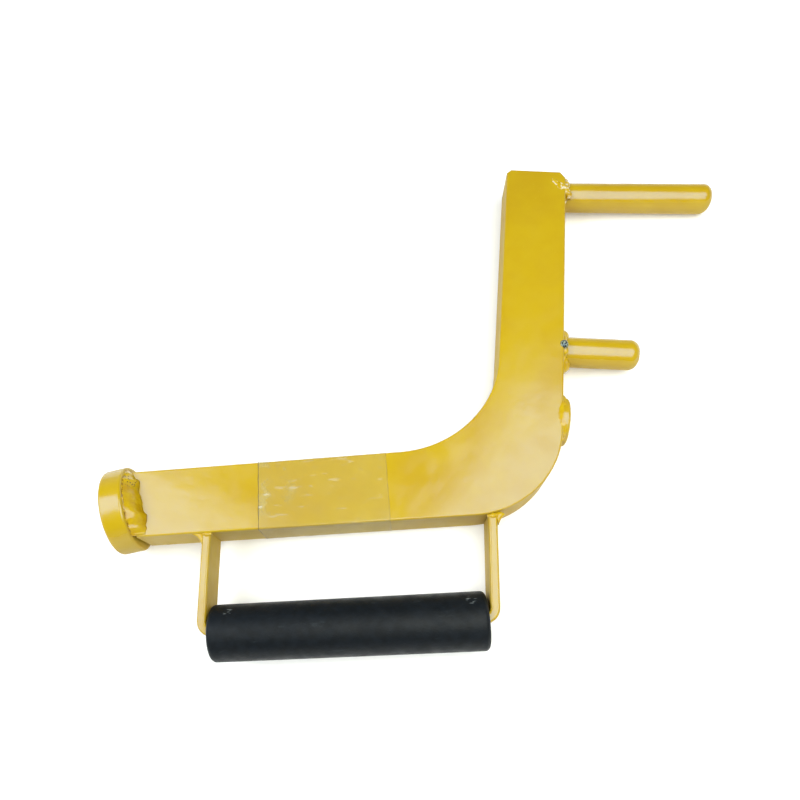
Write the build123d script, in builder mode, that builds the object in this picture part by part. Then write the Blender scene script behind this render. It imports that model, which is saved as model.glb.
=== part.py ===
from build123d import *
import math
import os

os.makedirs("parts", exist_ok=True)

# Toe lifting lever, lying flat. Millimetres. X runs to the right along the two
# toes, Y up along the upright leg, Z up through the thickness of the plate.

# ---- driving dimensions ---------------------------------------------------
PLATE_T = 20.0          # thickness of the cut plate
UPRIGHT_W = 28.8        # width of the upright leg
LONG_W = 31.6           # width of the long leg
LEG_TILT = 9.0          # the long leg climbs by this much towards the bend
KNEE_DROP = 150.5       # sharp inside corner, below the top end
LONG_LEN = 167.5        # sharp inside corner to the disc, along the long leg
INNER_R = 48.8
OUTER_R = 42.5
TOP_FALL = 1.4          # the top end is cut slightly out of square
TOP_CLIP = 2.0          # clipped corner at the top
TOE_CLIP_X = 2.6        # the corner over the long toe is ground off by this much
TOE_CLIP_Y = 3.6
CUT_R = 0.9             # flame-cut edges, softened by the paint

TOE_R = 7.0             # both toes are cut from the same round bar
LONG_TOE = 70.4
SHORT_TOE = 34.8
TOE_TIP = 4.2           # rounded tips
BEVEL_LEN = 2.2         # weld preparation at the root of each toe
BEVEL_IN = 0.5
LONG_TOE_DROP = 9.0     # below the top end
TOE_PITCH = 89.0        # long toe to short toe

HEEL_R = 11.0
HEEL_OUT = 3.1
HEEL_ROUND = 1.2
HEEL_DROP = 133.9       # below the top end

DISC_R = 20.2
DISC_T = 11.1
DISC_SKEW = 8.7         # welded on a little out of square with the leg
DISC_ROUND = 1.4
DISC_LOW = 15.2         # disc centre, below the upper edge of the long leg
END_GAP = 1.4           # the plate's end stands this far off the disc at its lower corner

STRAP_T = 4.0
STRAP_W = 18.0
STRAP_BEND = 3.0        # inside radius at the two bends
STRAP_INSIDE = 120.4    # clear width between its legs
STRAP_LEAN_LEFT = 2.4   # both legs lean, their welded ends nearer the bend
STRAP_LEAN_RIGHT = 5.1
STRAP_ROUND = 1.1
STRAP_BACK = 70.8       # middle of the handle, back from the inside corner
GRIP_DROP = 43.4        # long leg's lower edge to the grip's axis

SLEEVE_R = 12.4
SLEEVE_BORE = 9.5
SLEEVE_LEN = 118.9
SLEEVE_OFF = 0.45       # the sleeve has slid this far towards the bend
SLEEVE_LIP = 2.2        # rounding of the sleeve's ends

TAPE_T = 0.2
TAPE_LEN = 58.7
TAPE_BACK = 48.3        # near edge of the tape, back from the inside corner

BEAD_CROWN = 0.6        # how full every weld's face is, as a share of its legs
BEAD_INSET = 1.0        # the welds stop this far short of an edge
STRAP_BEAD = 3.2        # leg of the welds at the strap
TOE_BEAD = 1.4          # leg of the welds round the toes
DISC_BEAD = 8.0         # leg, along the plate, of the heavy weld at the disc
DISC_BEAD_UP = 4.8      # its height on the disc
UNDER_BEAD = 4.8        # the lighter weld under the plate
UNDER_BEAD_UP = 4.0

# ---- where things stand: the origin is under the middle of the part -------
TOE_ROOT_X = 68.91      # right-hand edge of the upright leg
TOP_Y = 128.46          # top end of the upright leg
MID_Z = DISC_R          # middle of the plate; the disc touches the ground

tilt = math.radians(LEG_TILT)
along = Vector(math.cos(tilt), math.sin(tilt), 0)
across = Vector(-math.sin(tilt), math.cos(tilt), 0)
knee = Vector(TOE_ROOT_X - UPRIGHT_W, TOP_Y - KNEE_DROP, 0)


def on_leg(u, v, z=0.0):
    """A point on the long leg: u along it from the inside corner, v across it."""
    return knee + along * u + across * v + Vector(0, 0, z)


def leg_plane(u, v, z):
    """A plane whose X runs along the long leg and whose Z is up."""
    return Plane(origin=on_leg(u, v, z), x_dir=along, z_dir=(0, 0, 1))


def leg_section(u, v, z):
    """A plane square to the long leg: X across it, Y up."""
    return Plane(origin=on_leg(u, v, z), x_dir=across, z_dir=-along)


def side_plane(x, y, z):
    """A plane on the upright leg's right-hand side, facing +X."""
    return Plane(origin=(x, y, z), x_dir=(0, 1, 0), z_dir=(1, 0, 0))


# ---- disc axis --------------------------------------------------------------
skew = math.radians(LEG_TILT + DISC_SKEW)
disc_axis = Vector(math.cos(skew), math.sin(skew), 0)
disc_in = on_leg(-LONG_LEN, -DISC_LOW, MID_Z)
disc_side = Vector(-math.sin(skew), math.cos(skew), 0)


def end_corner(v):
    """Where the disc's inner face meets the leg, v across the leg."""
    return on_leg(-LONG_LEN - (v + DISC_LOW) * math.tan(math.radians(DISC_SKEW)), v)


# ---- arm: one flame-cut plate ------------------------------------------------
outside = on_leg(0, -LONG_W)
lower_knee_y = outside.Y + (TOE_ROOT_X - outside.X) * math.tan(tilt)
with BuildPart() as arm:
    with BuildSketch(Plane.XY.offset(MID_Z - PLATE_T / 2)) as arm_outline:
        with BuildLine():
            Polyline(
                (TOE_ROOT_X - UPRIGHT_W, TOP_Y),
                (TOE_ROOT_X - TOE_CLIP_X, TOP_Y - TOP_FALL),
                (TOE_ROOT_X, TOP_Y - TOP_FALL - TOE_CLIP_Y),
                (TOE_ROOT_X, lower_knee_y),
                tuple(end_corner(-LONG_W) + along * END_GAP)[:2],
                tuple(end_corner(0))[:2],
                tuple(knee)[:2],
                close=True,
            )
        make_face()
        corners = arm_outline.vertices()
        fillet(corners.sort_by_distance((knee.X, knee.Y, 0))[0], INNER_R)
        low = arm_outline.vertices().sort_by_distance((TOE_ROOT_X, lower_knee_y, 0))[0]
        fillet(low, OUTER_R)
        top = arm_outline.vertices().sort_by_distance((TOE_ROOT_X - UPRIGHT_W, TOP_Y, 0))[0]
        chamfer(top, TOP_CLIP)
    extrude(amount=PLATE_T)
    rims = arm.faces().filter_by(Axis.Z).edges()
    fillet(rims, CUT_R)
arm.part.label = "arm"
export_step(arm.part, "parts/arm.step")


# ---- toes: round bar with softened tips, bevelled at the root for welding -----
def make_toe(name, y, length):
    with BuildPart() as toe:
        with BuildSketch(Plane(origin=(TOE_ROOT_X, y, MID_Z))):
            with BuildLine():
                Polyline(
                    (0, 0),
                    (0, TOE_R - BEVEL_IN),
                    (BEVEL_LEN, TOE_R),
                    (length, TOE_R),
                    (length, 0),
                    close=True,
                )
            make_face()
        revolve(axis=Axis((TOE_ROOT_X, y, MID_Z), (1, 0, 0)))
        fillet(toe.faces().sort_by(Axis.X)[-1].edges(), TOE_TIP)
    toe.part.label = name
    export_step(toe.part, f"parts/{name}.step")


LONG_Y = TOP_Y - LONG_TOE_DROP
SHORT_Y = LONG_Y - TOE_PITCH
make_toe("long_toe", LONG_Y, LONG_TOE)
make_toe("short_toe", SHORT_Y, SHORT_TOE)


# ---- heel boss on the outside of the bend -------------------------------------
HEEL_Y = TOP_Y - HEEL_DROP
with BuildPart() as heel_boss:
    with BuildSketch(side_plane(TOE_ROOT_X, HEEL_Y, MID_Z)):
        Circle(HEEL_R)
    extrude(amount=HEEL_OUT)
    fillet(heel_boss.faces().sort_by(Axis.X)[-1].edges(), HEEL_ROUND)
heel_boss.part.label = "heel_boss"
export_step(heel_boss.part, "parts/heel_boss.step")


# ---- end disc ------------------------------------------------------------------
disc_plane = Plane(origin=disc_in, x_dir=disc_side, z_dir=-disc_axis)
with BuildPart() as end_disc:
    with BuildSketch(disc_plane):
        Circle(DISC_R)
    extrude(amount=DISC_T)
    fillet(end_disc.edges().filter_by(GeomType.CIRCLE), DISC_ROUND)
end_disc.part.label = "end_disc"
export_step(end_disc.part, "parts/end_disc.step")


# ---- handle: flat bar bent to a U, standing on edge -----------------------------
HANDLE_MID = leg_plane(-STRAP_BACK, -LONG_W, MID_Z)
half = STRAP_INSIDE / 2
bar_low = -GRIP_DROP - STRAP_T / 2
slope_left = math.tan(math.radians(STRAP_LEAN_LEFT))
slope_right = math.tan(math.radians(STRAP_LEAN_RIGHT))
shift_left = -bar_low * slope_left
open_by = -bar_low * slope_right
with BuildPart() as handle_strap:
    with BuildSketch(HANDLE_MID.offset(-STRAP_W / 2)):
        with BuildLine():
            FilletPolyline(
                (-half - STRAP_T + shift_left, 0),
                (-half - STRAP_T, bar_low),
                (half + STRAP_T, bar_low),
                (half + STRAP_T + open_by, 0),
                radius=STRAP_BEND + STRAP_T,
            )
            Line((half + STRAP_T + open_by, 0), (half + open_by, 0))
            FilletPolyline(
                (half + open_by, 0),
                (half + STRAP_T * slope_right, bar_low + STRAP_T),
                (-half + STRAP_T * slope_left, bar_low + STRAP_T),
                (-half + shift_left, 0),
                radius=STRAP_BEND,
            )
            Line((-half + shift_left, 0), (-half - STRAP_T + shift_left, 0))
        make_face()
    extrude(amount=STRAP_W)
    fillet(handle_strap.faces().filter_by(Axis.Z).edges(), STRAP_ROUND)
handle_strap.part.label = "handle_strap"
export_step(handle_strap.part, "parts/handle_strap.step")


# ---- sleeve that turns on the strap ------------------------------------------------
grip_start = on_leg(-STRAP_BACK + SLEEVE_OFF + SLEEVE_LEN / 2, -LONG_W - GRIP_DROP, MID_Z)
with BuildPart() as grip_sleeve:
    with BuildSketch(Plane(origin=grip_start, x_dir=across, z_dir=-along)):
        Circle(SLEEVE_R)
        Circle(SLEEVE_BORE, mode=Mode.SUBTRACT)
    extrude(amount=SLEEVE_LEN)
    rim_edges = grip_sleeve.edges().filter_by(GeomType.CIRCLE).sort_by(SortBy.RADIUS)[-2:]
    fillet(rim_edges, SLEEVE_LIP)
grip_sleeve.part.label = "grip_sleeve"
export_step(grip_sleeve.part, "parts/grip_sleeve.step")


# ---- clear tape wrapped round the long leg --------------------------------------------
with BuildPart() as tape_wrap:
    with BuildSketch(leg_section(-TAPE_BACK, -LONG_W / 2, MID_Z)):
        RectangleRounded(LONG_W + 2 * TAPE_T, PLATE_T + 2 * TAPE_T, CUT_R + TAPE_T)
        RectangleRounded(LONG_W, PLATE_T, CUT_R, mode=Mode.SUBTRACT)
    extrude(amount=TAPE_LEN)
tape_wrap.part.label = "tape_wrap"
export_step(tape_wrap.part, "parts/tape_wrap.step")


# ---- weld beads -----------------------------------------------------------------------
def ring_bead(name, y, inner, leg):
    """A fillet weld round a bar that stands on the upright leg's side."""
    skirt = inner - BEVEL_IN * (1 - leg / BEVEL_LEN)
    fullness = leg * BEAD_CROWN
    with BuildPart() as bead:
        with BuildSketch(Plane(origin=(TOE_ROOT_X, y, MID_Z), x_dir=(0, 1, 0), z_dir=(0, 0, 1))):
            with BuildLine():
                Polyline((skirt, -leg), (inner - BEVEL_IN, 0), (inner + leg, 0))
                ThreePointArc((inner + leg, 0), (inner + fullness, -fullness), (skirt, -leg))
            make_face()
        revolve(axis=Axis((TOE_ROOT_X, y, MID_Z), (1, 0, 0)))
    bead.part.label = name
    export_step(bead.part, f"parts/{name}.step")


ring_bead("weld_long_toe", LONG_Y, TOE_R, TOE_BEAD)
ring_bead("weld_short_toe", SHORT_Y, TOE_R, TOE_BEAD)


def corner_bead(name, plane, leg_a, leg_b, length, lean=0.0):
    """A straight fillet weld: legs along the plane's X and Y, length along its Z.

    The leg along X leans by some degrees towards Y.
    """
    foot = leg_a * math.tan(math.radians(lean))
    with BuildPart() as bead:
        with BuildSketch(plane):
            with BuildLine():
                Polyline((0, leg_b), (0, 0), (leg_a, foot))
                ThreePointArc((leg_a, foot), (leg_a * BEAD_CROWN, leg_b * BEAD_CROWN), (0, leg_b))
            make_face()
        extrude(amount=length)
    bead.part.label = name
    export_step(bead.part, f"parts/{name}.step")


# Upper bead: on the plate's top face against the disc. Lower bead: under the plate.
bead_low = disc_in - disc_side * (LONG_W - DISC_LOW - BEAD_INSET)
bead_high = disc_in + disc_side * (DISC_LOW - 1.5 * BEAD_INSET)
bead_run = LONG_W - 3 * BEAD_INSET
top_z = Vector(0, 0, PLATE_T / 2)
upper = Plane(origin=bead_high + top_z, x_dir=disc_axis, z_dir=-disc_side)
corner_bead("weld_disc_upper", upper, DISC_BEAD, DISC_BEAD_UP, bead_run)
lower = Plane(origin=bead_low - top_z, x_dir=disc_axis, z_dir=disc_side)
corner_bead("weld_disc_lower", lower, UNDER_BEAD, UNDER_BEAD_UP, bead_run)

# Strap beads: in the outer corners, where each strap leg meets the long leg.
low_z = MID_Z - STRAP_W / 2 + BEAD_INSET
bead_w = STRAP_W - 2 * BEAD_INSET
left_at = on_leg(-STRAP_BACK - half - STRAP_T + shift_left, -LONG_W, low_z + bead_w)
right_at = on_leg(-STRAP_BACK + half + STRAP_T + open_by, -LONG_W, low_z)
left_corner = Plane(origin=left_at, x_dir=-across, z_dir=(0, 0, -1))
right_corner = Plane(origin=right_at, x_dir=-across, z_dir=(0, 0, 1))
corner_bead("weld_strap_left", left_corner, STRAP_BEAD, STRAP_BEAD, bead_w, STRAP_LEAN_LEFT)
corner_bead("weld_strap_right", right_corner, STRAP_BEAD, STRAP_BEAD, bead_w, -STRAP_LEAN_RIGHT)
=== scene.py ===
import math
import random

import bmesh
import bpy
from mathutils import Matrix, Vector, noise


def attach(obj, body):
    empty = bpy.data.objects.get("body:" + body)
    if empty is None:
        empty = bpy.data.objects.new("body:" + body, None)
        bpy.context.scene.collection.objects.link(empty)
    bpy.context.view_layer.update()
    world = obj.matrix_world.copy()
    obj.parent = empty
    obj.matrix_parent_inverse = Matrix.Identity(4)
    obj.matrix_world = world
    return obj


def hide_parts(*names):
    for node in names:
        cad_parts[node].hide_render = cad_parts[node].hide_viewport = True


# Toe lifting lever, lying flat: a yellow cut-steel arm with two round toes, a
# welded end disc, and a strap handle with a rubber sleeve. Metres, CAD frame.

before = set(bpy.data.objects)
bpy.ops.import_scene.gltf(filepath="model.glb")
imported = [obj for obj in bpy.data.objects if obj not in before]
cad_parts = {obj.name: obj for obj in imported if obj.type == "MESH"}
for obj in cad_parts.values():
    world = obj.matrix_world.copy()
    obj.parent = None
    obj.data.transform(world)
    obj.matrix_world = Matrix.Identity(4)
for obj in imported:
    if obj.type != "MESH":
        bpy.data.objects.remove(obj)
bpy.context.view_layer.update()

MM = 0.001

# ---- the long leg's own directions, as the CAD has them ----------------------
LEG_TILT = math.radians(9.0)
DISC_SKEW = math.radians(8.7)
ALONG = Vector((math.cos(LEG_TILT), math.sin(LEG_TILT), 0))
ACROSS = Vector((-math.sin(LEG_TILT), math.cos(LEG_TILT), 0))
UP = Vector((0, 0, 1))
KNEE = Vector((40.11, -22.04, 0)) * MM
LONG_W = 31.6
PLATE_LOW = 10.2
PLATE_TOP = 30.2
PLATE_T = PLATE_TOP - PLATE_LOW
MID_Z = 20.2
DISC_FACE = -167.5
DISC_LOW = 15.2
STRAP_LEFT = -133.1
STRAP_RIGHT = -2.55
TOE_ROOT = 68.91
LONG_TOE_Y = 119.46
SHORT_TOE_Y = 30.46
TOP_Y = 128.3          # the arm's top edge, which no weld stands past
HEEL_Y = -5.44
TOE_R = 7.0
TAPE_FROM = -107.0
TAPE_TO = -48.3
EDGE_R = 0.9


def on_leg(u, v, z):
    """A point on the long leg in metres: u along it, v across it, z up, in mm."""
    return KNEE + ALONG * u * MM + ACROSS * v * MM + UP * z * MM


def face_u(v):
    """Where the disc's inner face stands, v across the leg."""
    return DISC_FACE - (v + DISC_LOW) * math.tan(DISC_SKEW)


# ---- materials -------------------------------------------------------------------
SPOT_CORE = 0.55        # the share of a spot's radius at full strength


def linear(red, green, blue):
    """An sRGB colour, 0 to 255, as linear RGBA."""
    parts = []
    for value in (red, green, blue):
        share = value / 255
        parts.append(share / 12.92 if share <= 0.04045 else ((share + 0.055) / 1.055) ** 2.4)
    return (*parts, 1.0)


class Shader:
    """A material's node tree, with short ways to add nodes to it."""

    def __init__(self, name):
        self.material = bpy.data.materials.new(name)
        self.material.use_nodes = True
        self.tree = self.material.node_tree
        self.bsdf = self.tree.nodes["Principled BSDF"]
        self.place = self.tree.nodes.new("ShaderNodeTexCoord").outputs["Object"]

    def link(self, a, b):
        self.tree.links.new(a, b)

    def noise(self, scale, detail=3.0, rough=0.5, stretch=None):
        node = self.tree.nodes.new("ShaderNodeTexNoise")
        node.inputs["Scale"].default_value = scale
        node.inputs["Detail"].default_value = detail
        node.inputs["Roughness"].default_value = rough
        self.link(self.stretched(stretch), node.inputs["Vector"])
        return node.outputs["Fac"]

    def stretched(self, stretch):
        """Object coordinates, scaled and turned so that X runs along the long leg."""
        if stretch is None:
            return self.place
        node = self.tree.nodes.new("ShaderNodeMapping")
        node.vector_type = "TEXTURE"
        node.inputs["Rotation"].default_value = (0, 0, LEG_TILT)
        node.inputs["Scale"].default_value = [1 / s for s in stretch]
        self.link(self.place, node.inputs["Vector"])
        return node.outputs["Vector"]

    def cells(self, scale):
        """Distance to the nearest of a scatter of points."""
        node = self.tree.nodes.new("ShaderNodeTexVoronoi")
        node.inputs["Scale"].default_value = scale
        self.link(self.place, node.inputs["Vector"])
        return node.outputs["Distance"]

    def distance(self, point):
        """Metres from a point in the object's frame."""
        node = self.tree.nodes.new("ShaderNodeVectorMath")
        node.operation = "DISTANCE"
        node.inputs[1].default_value = point
        self.link(self.place, node.inputs[0])
        return node.outputs["Value"]

    def off_plane(self, point, normal):
        """Metres from a plane through a point, on the side its normal looks to."""
        away = self.tree.nodes.new("ShaderNodeVectorMath")
        away.operation = "SUBTRACT"
        away.inputs[1].default_value = point
        self.link(self.place, away.inputs[0])
        height = self.tree.nodes.new("ShaderNodeVectorMath")
        height.operation = "DOT_PRODUCT"
        height.inputs[1].default_value = normal
        self.link(away.outputs["Vector"], height.inputs[0])
        return height.outputs["Value"]

    def near(self, point, radius):
        """1 at a point in the object's frame, falling to 0 at a radius from it."""
        return self.between(self.distance(point), radius, radius * SPOT_CORE)

    def across_line(self, u, width):
        """1 on a line square across the long leg at u, width in mm."""
        split = self.tree.nodes.new("ShaderNodeSeparateXYZ")
        self.link(self.stretched((1, 1, 1)), split.inputs["Vector"])
        off = self.maths("SUBTRACT", split.outputs["X"], KNEE.dot(ALONG) + u * MM)
        return self.between(self.maths("ABSOLUTE", off, 0), width * MM, width * 0.4 * MM)

    def between(self, value, low, high, to_low=0.0, to_high=1.0):
        """value mapped smoothly from low..high to to_low..to_high."""
        node = self.tree.nodes.new("ShaderNodeMapRange")
        node.interpolation_type = "SMOOTHSTEP"
        for key, number in (("From Min", low), ("From Max", high), ("To Min", to_low), ("To Max", to_high)):
            node.inputs[key].default_value = number
        self.link(value, node.inputs["Value"])
        return node.outputs["Result"]

    def maths(self, kind, a, b):
        node = self.tree.nodes.new("ShaderNodeMath")
        node.operation = kind
        for socket, value in zip(node.inputs, (a, b)):
            if isinstance(value, (int, float)):
                socket.default_value = value
            else:
                self.link(value, socket)
        return node.outputs["Value"]

    def mix(self, share, a, b):
        """Colours a to b by share."""
        node = self.tree.nodes.new("ShaderNodeMix")
        node.data_type = "RGBA"
        self.link(share, node.inputs["Factor"])
        for socket, value in ((node.inputs[6], a), (node.inputs[7], b)):
            if isinstance(value, tuple):
                socket.default_value = value
            else:
                self.link(value, socket)
        return node.outputs[2]

    def upright(self):
        """1 on faces that stand, 0 on faces that lie flat."""
        geometry = self.tree.nodes.new("ShaderNodeNewGeometry")
        split = self.tree.nodes.new("ShaderNodeSeparateXYZ")
        self.link(geometry.outputs["Normal"], split.inputs["Vector"])
        return self.between(self.maths("ABSOLUTE", split.outputs["Z"], 0), 0.75, 0.35)

    def painted_crease_shade(self, reach):
        """Painted-shade mask: 1 in corners and gaps, where shade falls, 0 in the open."""
        node = self.tree.nodes.new("ShaderNodeAmbientOcclusion")
        node.samples = 8
        node.only_local = True
        node.inputs["Distance"].default_value = reach
        return self.between(node.outputs["AO"], 0.75, 0.25)

    def bump(self, *layers):
        """Stacks (height, strength, depth in metres) layers onto the normal."""
        last = None
        for height, strength, depth in layers:
            node = self.tree.nodes.new("ShaderNodeBump")
            node.inputs["Strength"].default_value = strength
            node.inputs["Distance"].default_value = depth
            self.link(height, node.inputs["Height"])
            if last is not None:
                self.link(last, node.inputs["Normal"])
            last = node.outputs["Normal"]
        self.link(last, self.bsdf.inputs["Normal"])

    def finish(self, colour, roughness, **uniform):
        self.link(colour, self.bsdf.inputs["Base Color"])
        self.link(roughness, self.bsdf.inputs["Roughness"])
        for key, value in uniform.items():
            self.bsdf.inputs[key.replace("_", " ")].default_value = value
        return self.material


YELLOW = linear(187, 156, 12)
YELLOW_DEEP = linear(180, 146, 9)
# painted shade: the darker, browner yellow laid into the enamel's corners and creases
YELLOW_PAINTED_SHADE = linear(128, 92, 14)
GLOSS_TINT = (0.28, 0.52, 1.0, 1.0)
ENAMEL_SPECULAR = 0.82
FLAT_ROUGHNESS = (0.15, 0.24)
UPRIGHT_ROUGHER = 0.45              # added where the plate's cut edges stand
WELD_SPECULAR = 0.5
RUBBER_SPECULAR = 0.17
NICK_LEFT = on_leg(-120.5, -67, 29.7)
NICK_RIGHT = on_leg(-17.5, -67, 29.7)
NICK_R = 2.6
TAPE_VEIL = 0.10                    # how much the plain film hides
BUBBLES = (on_leg(-103, -12, PLATE_TOP), 0.016)


def enamel(name="yellow_enamel"):
    """Brushed-on yellow enamel over cut steel: orange peel, soft random drifts of tone, and painted shade
    darkening its corners and creases.
    """
    s = Shader(name)
    drift = s.between(s.noise(28, 4, 0.6), 0.35, 0.68)
    colour = s.mix(drift, YELLOW, YELLOW_DEEP)
    speck = s.between(s.noise(1400, 2, 0.5), 0.70, 0.78, 0.0, 0.35)
    colour = s.mix(speck, colour, linear(204, 176, 70))
    # painted shade: the enamel darkens in corners and creases, found by ambient occlusion
    colour = s.mix(s.painted_crease_shade(0.004), colour, YELLOW_PAINTED_SHADE)
    peel = s.noise(520, 3, 0.55)
    sag = s.noise(75, 2, 0.5)
    upright = s.upright()
    drag = s.maths("MULTIPLY", s.noise(1, 2, 0.5, (500, 500, 30)), upright)
    s.bump((sag, 0.30, 0.0006), (peel, 0.30, 0.00010), (drag, 0.30, 0.0001))
    flat = s.between(s.noise(140, 3), 0.3, 0.7, *FLAT_ROUGHNESS)
    rough = s.maths("ADD", flat, s.maths("MULTIPLY", upright, UPRIGHT_ROUGHER))
    return s.finish(colour, rough, Specular_IOR_Level=ENAMEL_SPECULAR, Specular_Tint=GLOSS_TINT)


def weld_enamel(name, bare=None, rubbed=False, pitted=None, seam=None):
    """Thick glossy enamel over a weld, with painted shade in its corners and creases.

    bare and pitted are (point, radius); seam is (point, normal); rubbed adds pale worn patches.
    """
    s = Shader(name)
    drift = s.between(s.noise(160, 3, 0.6), 0.35, 0.7)
    colour = s.mix(drift, linear(194, 162, 12), linear(180, 141, 8))
    pore = s.between(s.cells(520), 0.17, 0.09)
    few = s.between(s.noise(260, 1), 0.55, 0.62)
    pore = s.maths("MULTIPLY", pore, few)
    if pitted is not None:
        pits = s.maths("MULTIPLY", s.between(s.cells(900), 0.30, 0.20), s.near(*pitted))
        pore = s.maths("MAXIMUM", pore, pits)
    colour = s.mix(pore, colour, linear(46, 36, 12))
    # painted shade: the weld's enamel darkens in its corners and creases, found by ambient occlusion
    colour = s.mix(s.painted_crease_shade(0.002), colour, linear(120, 90, 14))
    rough = s.between(s.noise(420, 2), 0.3, 0.7, 0.12, 0.26)
    if seam is not None:
        crack = s.between(s.off_plane(*seam), 0.95 * MM, 0.3 * MM)
        crack = s.maths("MULTIPLY", crack, s.between(s.noise(480, 4, 0.7), 0.47, 0.56))
        colour = s.mix(crack, colour, linear(132, 96, 20))
    if rubbed:
        colour = s.mix(s.between(s.noise(620, 3), 0.52, 0.62), colour, linear(214, 204, 170))
    if bare is not None:
        spot = s.near(*bare)
        flecks = s.mix(s.between(s.noise(1500, 2), 0.45, 0.6), linear(24, 30, 22), linear(150, 160, 140))
        colour = s.mix(spot, colour, flecks)
    s.bump((s.noise(420, 3, 0.6), 0.6, 0.0005), (s.maths("MULTIPLY", pore, -1.0), 0.8, 0.0004))
    return s.finish(colour, rough, Specular_IOR_Level=WELD_SPECULAR, Specular_Tint=GLOSS_TINT,
                    Coat_Weight=0.15, Coat_Roughness=0.08)


def rubber(name="grip_rubber"):
    """Blue-black rubber with fine grain, a few dull scuffs and a nick near each end."""
    s = Shader(name)
    scuff = s.between(s.noise(70, 5, 0.7, (1, 3, 3)), 0.60, 0.74)
    colour = s.mix(s.between(s.noise(300, 3), 0.3, 0.7), linear(9, 14, 18), linear(14, 20, 26))
    colour = s.mix(scuff, colour, linear(30, 36, 40))
    nicked = s.maths("MAXIMUM", s.near(NICK_LEFT, NICK_R * MM), s.near(NICK_RIGHT, NICK_R * MM))
    nicked = s.maths("MULTIPLY", nicked, s.between(s.noise(1, 2, 0.5, (350, 1400, 1400)), 0.56, 0.62))
    colour = s.mix(nicked, colour, linear(104, 110, 112))
    rough = s.between(s.noise(180, 3), 0.3, 0.7, 0.42, 0.56)
    grain = s.cells(2100)
    s.bump((s.noise(60, 2), 0.25, 0.0006), (grain, 0.5, 0.00012), (s.noise(900, 2), 0.35, 0.00012))
    return s.finish(colour, rough, Specular_IOR_Level=RUBBER_SPECULAR)


def clear_tape(name="clear_tape"):
    """Clear packing tape: a thin pale film, glossy, with creases and trapped air."""
    s = Shader(name)
    crease = s.between(s.noise(1, 3, 0.6, (120, 420, 420)), 0.60, 0.68)
    air = s.between(s.noise(70, 4, 0.65), 0.50, 0.62)
    bubbled = s.maths("MULTIPLY", air, s.near(*BUBBLES))
    colour = s.mix(crease, linear(206, 190, 120), linear(226, 220, 190))
    right_edge = s.maths("MULTIPLY", s.across_line(TAPE_TO, 0.35), 0.4)
    edge = s.maths("MAXIMUM", s.across_line(TAPE_FROM, 0.45), right_edge)
    colour = s.mix(edge, colour, linear(120, 104, 58))
    s.bump((air, 0.25, 0.0002), (crease, 0.4, 0.0001))
    veil = s.maths("ADD", s.maths("MULTIPLY", crease, 0.06), s.maths("MULTIPLY", bubbled, 0.22))
    veil = s.maths("ADD", veil, s.maths("MULTIPLY", edge, 0.35))
    s.link(s.maths("ADD", veil, TAPE_VEIL), s.bsdf.inputs["Alpha"])
    rough = s.between(air, 0.0, 1.0, 0.22, 0.36)
    return s.finish(colour, rough, Specular_IOR_Level=0.4)


# ---- meshes -------------------------------------------------------------------------
def add_piece(name, verts, faces, material, smooth=True):
    mesh = bpy.data.meshes.new(name)
    mesh.from_pydata([tuple(v) for v in verts], [], faces)
    mesh.validate()
    mesh.update()
    for polygon in mesh.polygons:
        polygon.use_smooth = smooth
    mesh.materials.append(material)
    piece = bpy.data.objects.new(name, mesh)
    bpy.context.scene.collection.objects.link(piece)
    return piece


def lump(centre, axes, radii, rings=8, sides=12):
    """An ellipsoid's points and faces: axes are three unit vectors, radii in mm."""
    verts = [centre - axes[2] * radii[2] * MM]
    for ring in range(1, rings):
        polar = math.pi * ring / rings
        for side in range(sides):
            turn = 2 * math.pi * side / sides
            x = math.sin(polar) * math.cos(turn) * radii[0]
            y = math.sin(polar) * math.sin(turn) * radii[1]
            verts.append(centre + (axes[0] * x + axes[1] * y - axes[2] * math.cos(polar) * radii[2]) * MM)
    verts.append(centre + axes[2] * radii[2] * MM)
    top = len(verts) - 1
    faces = []
    for side in range(sides):
        after = (side + 1) % sides
        faces.append((0, 1 + after, 1 + side))
        for ring in range(rings - 2):
            a = 1 + ring * sides
            faces.append((a + side, a + after, a + sides + after, a + sides + side))
        last = 1 + (rings - 2) * sides
        faces.append((last + side, last + after, top))
    return verts, faces


def melt(name, lumps, material, voxel=0.4, rough=0.35):
    """Melts overlapping lumps into one skin and ripples it, as a weld bead sets."""
    verts, faces = [], []
    for one in lumps:
        points, rings = lump(*one)
        faces += [tuple(i + len(verts) for i in f) for f in rings]
        verts += points
    piece = add_piece(name, verts, faces, material)
    remesh = piece.modifiers.new("skin", "REMESH")
    remesh.mode = "VOXEL"
    remesh.voxel_size = voxel * MM
    remesh.use_smooth_shade = True
    soften = piece.modifiers.new("soften", "SMOOTH")
    soften.factor = 0.6
    soften.iterations = 3
    bpy.context.view_layer.update()
    ready = piece.evaluated_get(bpy.context.evaluated_depsgraph_get())
    mesh = bpy.data.meshes.new_from_object(ready)
    piece.modifiers.clear()
    piece.data = mesh
    mesh.name = name
    mesh.materials.clear()
    mesh.materials.append(material)
    for vertex in mesh.vertices:
        shift = noise.noise(vertex.co * 420) + 0.5 * noise.noise(vertex.co * 1100)
        vertex.co += vertex.normal * shift * rough * MM
    for polygon in mesh.polygons:
        polygon.use_smooth = True
    return piece


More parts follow.
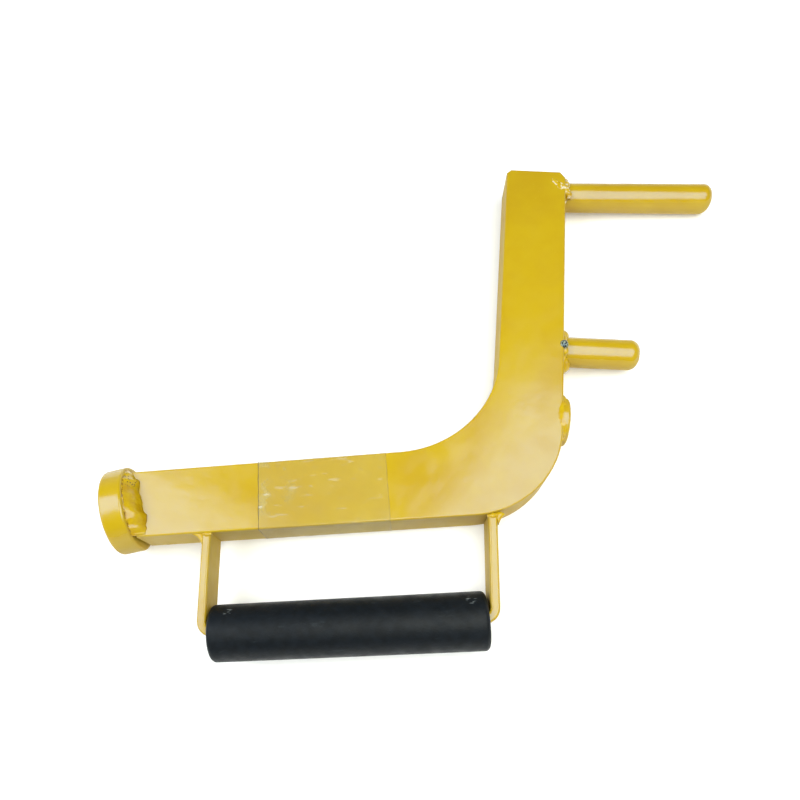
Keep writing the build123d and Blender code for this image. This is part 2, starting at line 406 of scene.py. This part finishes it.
def chain(points, radii, step, seed, jitter=0.18):
    """Lumps strung along a run of points; radii are (along, across, up) at each point."""
    dice = random.Random(seed)
    lumps = []
    for (a, b), (ra, rb) in zip(zip(points, points[1:]), zip(radii, radii[1:])):
        count = max(1, round((b - a).length / (step * MM)))
        axis = (b - a).normalized()
        side = axis.cross(UP) if abs(axis.z) < 0.9 else axis.cross(ALONG)
        side.normalize()
        over = side.cross(axis)
        for i in range(count + 1):
            t = i / count
            size = [(x + (y - x) * t) * dice.uniform(1 - jitter, 1 + jitter) for x, y in zip(ra, rb)]
            place = a.lerp(b, t) + side * dice.uniform(-jitter, jitter) * size[1] * MM * 0.6
            lumps.append((place, (axis, side, over), size))
    return lumps


def on_toe(y, turn, x, out):
    """A point round a toe's root: turn in degrees from up, out from the toe's axis."""
    a = math.radians(turn)
    return Vector((x, y + math.sin(a) * out, MID_Z + math.cos(a) * out)) * MM


def toe_ring(y, seed, size, spans):
    """Weld lumps round a toe's root; spans give extra (turn, reach) fillets."""
    lumps = []
    dice = random.Random(seed)
    for turn in range(0, 360, 12):
        extra = sum(s[2] * max(0.0, math.cos(math.radians((turn - s[0]) / s[1] * 90))) ** 2
                    for s in spans if abs(turn - s[0]) < s[1])
        r = (size + extra) * dice.uniform(0.88, 1.12)
        spot = on_toe(y, turn, TOE_ROOT + 0.15 * r, TOE_R + 0.1 * r)
        lumps.append((spot, (Vector((1, 0, 0)), Vector((0, 1, 0)), UP), (r, r, r)))
    return lumps


# ---- the welds ---------------------------------------------------------------------------
def fillet_bead(name, stations, material, rough=0.25, bulge=0.16):
    """A weld laid as a smooth fillet in a corner.

    Each station is (corner, out, up, reach, height) with reach and height in mm; the
    skin runs from height up one wall to reach out on the other, crowned or hollow by bulge.
    """
    around = 14
    verts, faces = [], []
    for corner, out, up, reach, height in stations:
        for i in range(around + 1):
            t = i / around
            crown = bulge * math.sin(math.pi * t) * min(reach, height)
            place = corner + (out * (reach * t + crown) + up * (height * (1 - t) + crown)) * MM
            shift = 0.8 * noise.noise(place * 150) + 0.2 * noise.noise(place * 500)
            sink = math.sin(math.pi * t) ** 0.5
            verts.append(place + (out + up).normalized() * shift * rough * 2.2 * sink * MM)
        verts.append(corner + (out * reach * 0.5 - up * 1.0) * MM)
        verts.append(corner - (out + up) * 0.8 * MM)
    n = around + 3
    last = len(stations) - 1
    for k in range(last):
        for i in range(n):
            j = (i + 1) % n
            faces.append((k * n + i, k * n + j, (k + 1) * n + j, (k + 1) * n + i))
    faces.append(tuple(range(n))[::-1])
    faces.append(tuple(last * n + i for i in range(n)))
    piece = add_piece(name, verts, faces, material)
    bm = bmesh.new()
    bm.from_mesh(piece.data)
    bmesh.ops.recalc_face_normals(bm, faces=bm.faces)
    bm.to_mesh(piece.data)
    bm.free()
    return piece


def spread(table, at):
    """Reads a table of (position, value, ...) rows at a position, between its rows."""
    for a, b in zip(table, table[1:]):
        if (at - a[0]) * (at - b[0]) <= 0:
            t = (at - a[0]) / (b[0] - a[0])
            t = t * t * (3 - 2 * t)
            return [x + (y - x) * t for x, y in zip(a[1:], b[1:])]
    return list(table[-1][1:])


DISC_OUT = (ALONG * math.cos(DISC_SKEW) + ACROSS * math.sin(DISC_SKEW)).normalized()
# across the leg: how far the bead reaches along the plate, and how high it climbs
UPPER_BEAD = ((0.6, 0.8, 1.4), (-2.5, 3.2, 4.4), (-6, 5.5, 7.2), (-10, 4.9, 8.6), (-14, 5.4, 9.2),
              (-19, 6.0, 9.0), (-24, 7.4, 7.4), (-28, 6.9, 5.0), (-31.3, 5.8, 2.2))
LOWER_BEAD = ((-1.0, 1.6, 1.4), (-8, 4.4, 3.4), (-20, 4.0, 3.6), (-30.6, 3.0, 2.4))


def disc_weld(name, table, z, up, material):
    """A fillet along the disc on one side of the plate."""
    stations = []
    count = 64
    first, end = table[0][0], table[-1][0]
    for i in range(count + 1):
        v = first + (end - first) * i / count
        reach, height = spread(table, v)
        ripple = 1 + 0.02 * math.sin(v * 1.9) + 0.04 * math.sin(v * 0.8 + 1)
        stations.append((on_leg(face_u(v), v, z), DISC_OUT, up, reach * ripple, height))
    return fillet_bead(name, stations, material)


def disc_weld_upper():
    pits = (on_leg(face_u(-5) + 2.0, -5, PLATE_TOP + 4), 5.5 * MM)
    seam = (on_leg(face_u(0), 0, PLATE_TOP), DISC_OUT)
    material = weld_enamel("weld_enamel", pitted=pits, seam=seam)
    return disc_weld("bead_disc_upper", UPPER_BEAD, PLATE_TOP, UP, material)


def disc_weld_lower():
    return disc_weld("bead_disc_lower", LOWER_BEAD, PLATE_LOW, -UP, weld_enamel("weld_enamel_low"))


def strap_weld(name, u, side, reach, drop, material):
    """A hollow fillet down a strap leg's outer corner, fuller near the plate's top."""
    stations = []
    count = 30
    for i in range(count + 1):
        t = i / count
        z = PLATE_LOW + 1.4 + (PLATE_T - 2.3) * t
        size = (0.62 + 0.38 * t * t + 0.03 * math.sin(z * 2.3)) * (1 if i < count else 0.85)
        stations.append((on_leg(u, -LONG_W, z), ALONG * side, -ACROSS, reach * size, drop * size))
    return fillet_bead(name, stations, material, 0.15, -0.14)


def strap_weld_left():
    return strap_weld("bead_strap_left", STRAP_LEFT, -1, 5.0, 5.2, weld_enamel("weld_enamel_left"))


def strap_weld_right():
    return strap_weld("bead_strap_right", STRAP_RIGHT, 1, 3.4, 4.6, weld_enamel("weld_enamel_right"))


CAP_Z = 28.9
CAP_STEPS = (0.6, 2.0, 3.6)         # along the strap's thickness
CAP_RADII = ((1.1, 0.9, 0.9), (1.2, 1.3, 1.3), (1.1, 0.9, 0.9))


def root_cap(name, u, material):
    """The small crown of weld where a strap leg meets the top of the plate."""
    row = [on_leg(u + x, -LONG_W - 0.3, CAP_Z) for x in CAP_STEPS]
    return melt(name, chain(row, CAP_RADII, 1.0, 77), material, 0.3, 0.08)


# the long toe's weld also fills the arm's clipped corner and spills over its top face, mm
CLIP_RUN = ((66.4, 126.2, 27.5), (68.0, 125.4, 25.5), (69.0, 124.6, 23.5))
CLIP_RADII = ((1.6, 1.5, 1.5), (2.0, 2.0, 1.9), (1.6, 1.6, 1.6))
SPILL_RUN = ((63.4, 121.2, 30.0), (65.8, 119.0, 29.9), (68.6, 117.0, 29.2), (71.4, 114.6, 26.9))
SPILL_RADII = ((1.5, 1.3, 0.6), (1.9, 1.9, 0.8), (2.0, 2.4, 1.3), (1.5, 1.7, 1.3))


def points_mm(run):
    """A run of points given in mm, as vectors in metres."""
    return [Vector(p) * MM for p in run]


def toe_weld_long():
    lumps = toe_ring(LONG_TOE_Y, 51, 1.5, ((0, 70, 0.9),))
    lumps += chain(points_mm(CLIP_RUN), CLIP_RADII, 1.0, 53)
    lumps += chain(points_mm(SPILL_RUN), SPILL_RADII, 1.1, 52)
    material = weld_enamel("weld_enamel_long_toe", rubbed=True)
    piece = melt("bead_long_toe", lumps, material, 0.35, 0.3)
    for vertex in piece.data.vertices:
        vertex.co.y = min(vertex.co.y, TOP_Y * MM)
    return piece


def toe_weld_short():
    lumps = toe_ring(SHORT_TOE_Y, 61, 1.6, ((90, 60, 2.0), (270, 60, 2.2)))
    pit = Vector((68.8, 29.4, 29.2)) * MM
    axes = (Vector((1, 0, 0)), Vector((0, 1, 0)), UP)
    lumps += [(pit, axes, (2.2, 2.4, 1.8)), (pit + Vector((0.8, -2.4, -1.4)) * MM, axes, (2.0, 2.2, 1.8))]
    bare = (pit + Vector((0, 0.2, 1.0)) * MM, 3.4 * MM)
    return melt("bead_short_toe", lumps, weld_enamel("weld_enamel_short_toe", bare), 0.35, 0.25)


def heel_weld():
    """Weld smeared over the plate's edge round the boss."""
    lumps = []
    dice = random.Random(91)
    for turn in range(-60, 61, 10):
        a = math.radians(turn)
        spot = Vector((TOE_ROOT, HEEL_Y + math.sin(a) * 10.4, MID_Z + math.cos(a) * 9.8)) * MM
        r = dice.uniform(1.5, 1.8)
        lumps.append((spot, (Vector((1, 0, 0)), Vector((0, 1, 0)), UP), (r * 1.4, r * 1.6, r * 0.6)))
    return melt("bead_heel", lumps, weld_enamel("weld_enamel_heel"), 0.4, 0.12)


# ---- the tape ------------------------------------------------------------------------------
def leg_rim(out):
    """The leg's rounded section, once round at even steps, lifted out by a distance."""
    w, h, r = LONG_W / 2, PLATE_T / 2, EDGE_R
    points = []
    for cx, cy, start in ((w - r, h - r, 0), (r - w, h - r, 90), (r - w, r - h, 180), (w - r, r - h, 270)):
        for step in range(5):
            a = math.radians(start + step * 22.5)
            x, y = math.cos(a), math.sin(a)
            points.append((cx + x * (r + out), cy + y * (r + out), x, y))
    rim = []
    for (x0, y0, a0, b0), (x1, y1, a1, b1) in zip(points, points[1:] + points[:1]):
        count = max(1, round(math.hypot(x1 - x0, y1 - y0) / 0.5))
        for i in range(count):
            t = i / count
            rim.append((x0 + (x1 - x0) * t, y0 + (y1 - y0) * t, a0 + (a1 - a0) * t, b0 + (b1 - b0) * t))
    return rim


def tape_skin():
    """The wrap of clear tape: a thin closed sheet with creases, lifted at its edges."""
    rim = leg_rim(0.04)
    count = 118
    verts, faces = [], []
    for layer in (0, 1):
        for i in range(count + 1):
            t = i / count
            u = TAPE_FROM + (TAPE_TO - TAPE_FROM) * t
            for x, y, a, b in rim:
                lift = 0.0
                if layer:
                    fold = noise.noise(Vector((u * 0.09, x * 0.35, y * 0.35 + 7)))
                    ridge = max(0.0, 0.16 - abs(noise.noise(Vector((u * 0.16, x * 0.06, y * 0.1))))) / 0.16
                    lift = 0.09 + 0.07 * fold + 0.16 * ridge ** 3
                wave = 0.25 * noise.noise(Vector((x * 0.2, y * 0.2, 3 + t)))
                place = on_leg(u + wave, -LONG_W / 2 + x + a * lift, MID_Z + y + b * lift)
                verts.append(place)
    n = len(rim)
    half = (count + 1) * n
    for i in range(count):
        for j in range(n):
            k = (j + 1) % n
            a, b = i * n, (i + 1) * n
            faces.append((a + j, b + j, b + k, a + k))
            faces.append((half + a + j, half + a + k, half + b + k, half + b + j))
    for i, flip in ((0, False), (count, True)):
        for j in range(n):
            k = (j + 1) % n
            ring = (i * n + j, i * n + k, half + i * n + k, half + i * n + j)
            faces.append(ring[::-1] if flip else ring)
    return add_piece("tape_skin", verts, faces, clear_tape())


# ---- put together -----------------------------------------------------------------------------
def paint_cad():
    coats = {"paint": enamel(), "grip_rubber": rubber()}
    painted = ("arm", "long_toe", "short_toe", "heel_boss", "end_disc", "handle_strap")
    for name in painted:
        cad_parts[name].data.materials.clear()
        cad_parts[name].data.materials.append(coats["paint"])
    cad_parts["grip_sleeve"].data.materials.clear()
    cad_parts["grip_sleeve"].data.materials.append(coats["grip_rubber"])


def settle(piece, node):
    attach(piece, "lever")
    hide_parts(node)


paint_cad()
for build, node in (
    (disc_weld_upper, "weld_disc_upper"),
    (disc_weld_lower, "weld_disc_lower"),
    (strap_weld_left, "weld_strap_left"),
    (strap_weld_right, "weld_strap_right"),
    (toe_weld_long, "weld_long_toe"),
    (toe_weld_short, "weld_short_toe"),
):
    settle(build(), node)
settle(tape_skin(), "tape_wrap")
for extra in (heel_weld(), root_cap("cap_strap_left", STRAP_LEFT, weld_enamel("weld_enamel_cap_left")),
              root_cap("cap_strap_right", STRAP_RIGHT - 4.2, weld_enamel("weld_enamel_cap_right"))):
    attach(extra, "lever")


# ---- floor, light and camera --------------------------------------------------------------------
REST_SLOPE = (0.0469, 0.0049)       # the lever rests on its disc, its sleeve and a toe
FLOOR_REACH = 3.0
FLOOR_GLOW = (0.18, 0.62)           # the floor's own light near the lever, and far off
FLOOR_GLOW_REACH = (0.30, 1.00)     # metres from the lever's middle


def floor():
    """A wide plain floor, touching the lever where it rests."""
    low = min(v.co.z - REST_SLOPE[0] * v.co.x - REST_SLOPE[1] * v.co.y
              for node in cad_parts.values() for v in node.data.vertices)
    r = FLOOR_REACH
    corners = [(x, y, low + REST_SLOPE[0] * x + REST_SLOPE[1] * y)
               for x, y in ((-r, -r), (r, -r), (r, r), (-r, r))]
    s = Shader("white_floor")
    shade = s.mix(s.noise(3, 2), linear(238, 238, 238), linear(243, 243, 243))
    s.bsdf.inputs["Emission Color"].default_value = (1, 1, 1, 1)
    glow = s.between(s.distance((0, 0, low)), *FLOOR_GLOW_REACH, *FLOOR_GLOW)
    s.link(glow, s.bsdf.inputs["Emission Strength"])
    s.finish(shade, s.between(s.noise(40), 0.3, 0.7, 0.6, 0.7), Specular_IOR_Level=0.2)
    piece = add_piece("floor", corners, [(0, 1, 2, 3)], s.material, smooth=False)


def softbox(name, place, turn, size, power, colour):
    """A large soft lamp overhead, facing down, turned by some degrees about the vertical."""
    data = bpy.data.lights.new(name, "AREA")
    data.shape = "RECTANGLE"
    data.size, data.size_y = size
    data.energy = power
    data.color = colour
    light = bpy.data.objects.new(name, data)
    light.location = place
    light.rotation_euler = (0, 0, math.radians(turn))
    bpy.context.scene.collection.objects.link(light)


COOL = (0.88, 0.95, 1.0)
WARM = (0.93, 0.96, 0.88)
LEFT_LAMP = ((-0.654, -0.10, 0.60), -23, (0.75, 0.62), 7.35, COOL)
RIGHT_LAMP = ((0.213, -0.106, 0.60), -29, (0.51, 0.66), 5.75, WARM)
HORIZON = (0.10, 0.55)              # heights between which the surroundings darken
HORIZON_GLOW = (0.55, 0.13)         # their light low down, and overhead


def studio():
    world = bpy.data.worlds.new("studio")
    world.use_nodes = True
    tree = world.node_tree
    background = tree.nodes["Background"]
    background.inputs["Color"].default_value = (1, 1, 1, 1)
    split = tree.nodes.new("ShaderNodeSeparateXYZ")
    tree.links.new(tree.nodes.new("ShaderNodeTexCoord").outputs["Generated"], split.inputs["Vector"])
    height = tree.nodes.new("ShaderNodeMapRange")
    height.interpolation_type = "SMOOTHSTEP"
    for key, number in zip(("From Min", "From Max", "To Min", "To Max"), HORIZON + HORIZON_GLOW):
        height.inputs[key].default_value = number
    tree.links.new(split.outputs["Z"], height.inputs["Value"])
    tree.links.new(height.outputs["Result"], background.inputs["Strength"])
    bpy.context.scene.world = world
    bpy.context.scene.view_settings.view_transform = "Standard"
    softbox("softbox_left", *LEFT_LAMP)
    softbox("softbox_right", *RIGHT_LAMP)


CAMERA_PLACE = (0.01032, -0.12654, 0.30088)
CAMERA_TURN = (18.15, 7.227, 6.948)
CAMERA_LENS = 28.648
CAMERA_SHIFT = (0.0957, 0.0922)


def camera():
    data = bpy.data.cameras.new("camera")
    data.sensor_width = 36
    data.lens = CAMERA_LENS
    data.shift_x, data.shift_y = CAMERA_SHIFT
    data.clip_start = 0.01
    seen = bpy.data.objects.new("camera", data)
    seen.location = CAMERA_PLACE
    seen.rotation_euler = [math.radians(a) for a in CAMERA_TURN]
    bpy.context.scene.collection.objects.link(seen)
    bpy.context.scene.camera = seen


floor()
studio()
camera()
